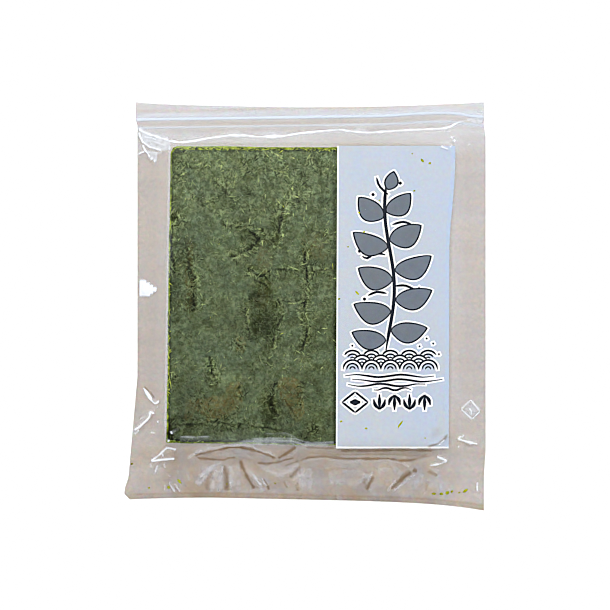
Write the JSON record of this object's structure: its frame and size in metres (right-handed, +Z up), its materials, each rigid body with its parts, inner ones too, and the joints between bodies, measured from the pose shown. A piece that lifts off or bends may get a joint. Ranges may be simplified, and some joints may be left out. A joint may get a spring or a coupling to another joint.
{
  "type": "bag of roasted nori sheets",
  "caption": "Clear press-zip bag lying flat, closed round a flat stack of square roasted nori sheets with a tall printed card over one side.",
  "frame": {"origin": "middle of the bag's box, on the surface that it rests on", "axes": "+Z up out of the flat bag, +Y along the stack towards the zip and the lips, +X to the right with the card on that side"},
  "size_m": [0.2528, 0.286, 0.0069],
  "materials": {
    "clear_film": "clear glossy film with a slight haze, soft wrinkles and sharp creases",
    "zip_track": "milky clear moulded rib, smooth",
    "roasted_nori": "dusty dark green dried seaweed with a satin sheen, matted fibres, pits and crumple lines",
    "label_card": "smooth white card, satin",
    "label_ink": "flat slate ink, slightly uneven"
  },
  "bodies": {
    "root": {"zip_bag": "clear_film"}
  },
  "joints": []
}
